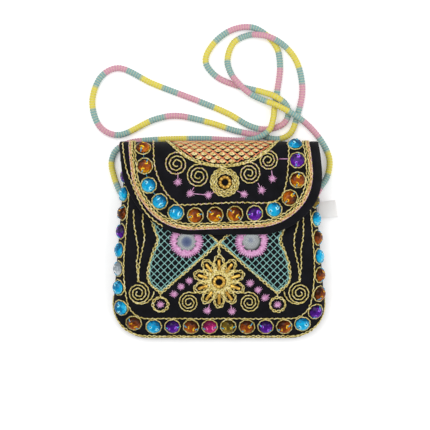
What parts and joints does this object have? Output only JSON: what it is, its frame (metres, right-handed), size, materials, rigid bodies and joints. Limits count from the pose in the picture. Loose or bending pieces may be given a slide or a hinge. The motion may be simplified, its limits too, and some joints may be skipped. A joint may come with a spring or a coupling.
{
  "type": "embroidered flap sling bag",
  "caption": "Small flat cloth shoulder bag with a rounded fold-over flap, gold cord embroidery, sewn-on faceted stones, small mirrors and a long wrapped-cord strap.",
  "frame": {"origin": "middle of the bag's back, on the surface that it lies on", "axes": "+Z out of the table through the embroidered front, +Y to the folded top, +X to the right seen from the front"},
  "size_m": [0.2097, 0.2671, 0.0423],
  "materials": {
    "black_cloth": "matt black cotton velveteen, lightly stuffed",
    "stone_amber": "foil-backed faceted acrylic, amber brown",
    "stone_blue": "foil-backed faceted acrylic, bright blue",
    "stone_purple": "foil-backed faceted acrylic, purple",
    "stone_magenta": "foil-backed faceted acrylic, magenta",
    "stone_olive": "foil-backed faceted acrylic, olive gold",
    "stone_clear": "foil-backed faceted acrylic, clear",
    "gold_cord": "twisted metallic gold thread, couched down",
    "orange_thread": "orange thread lattice with gold sequins",
    "teal_thread": "teal thread lattice",
    "mirror_glass": "small round mirror",
    "pink_thread": "pink buttonhole stitches",
    "gold_bead": "polished gold ring bead",
    "press_stud": "plain press stud",
    "tag_ribbon": "white satin ribbon, folded",
    "strap_cord": "cord wrapped in pink, teal and yellow thread"
  },
  "bodies": {
    "root": {"back_panel": "black_cloth", "front_panel": "black_cloth", "flap": "black_cloth", "flap_stone_01": "stone_amber", "flap_stone_02": "stone_amber", "flap_stone_03": "stone_blue", "flap_stone_04": "stone_blue", "flap_stone_05": "stone_blue", "flap_stone_06": "stone_amber", "flap_stone_07": "stone_amber", "flap_stone_08": "stone_amber", "flap_stone_09": "stone_purple", "flap_stone_10": "stone_blue", "flap_stone_11": "stone_amber", "flap_stone_12": "stone_amber", "flap_stone_13": "stone_purple", "flap_stone_14": "stone_blue", "front_stone_01": "stone_purple", "front_stone_02": "stone_blue", "front_stone_03": "stone_amber", "front_stone_04": "stone_purple", "front_stone_05": "stone_blue", "front_stone_06": "stone_clear", "front_stone_07": "stone_blue", "front_stone_08": "stone_blue", "front_stone_09": "stone_amber", "front_stone_10": "stone_blue", "front_stone_11": "stone_purple", "front_stone_12": "stone_amber", "front_stone_13": "stone_magenta", "front_stone_14": "stone_olive", "front_stone_15": "stone_amber", "front_stone_16": "stone_purple", "front_stone_17": "stone_amber", "front_stone_18": "stone_blue", "front_stone_19": "stone_purple", "front_stone_20": "stone_amber", "front_stone_21": "stone_amber", "front_stone_22": "stone_blue", "front_stone_23": "stone_amber", "front_stone_24": "stone_blue", "front_stone_25": "stone_olive", "front_gold_cord": "gold_cord", "seam_cord": "gold_cord", "flap_gold_cord": "gold_cord", "fan_net": "orange_thread", "net_left": "teal_thread", "mirror_left": "mirror_glass", "mirror_ring_left": "pink_thread", "net_right": "teal_thread", "mirror_right": "mirror_glass", "mirror_ring_right": "pink_thread", "flap_bead": "gold_bead", "flower_bead": "gold_bead", "stud_socket": "press_stud", "stud": "press_stud", "tag": "tag_ribbon", "strap": "strap_cord"}
  },
  "joints": []
}
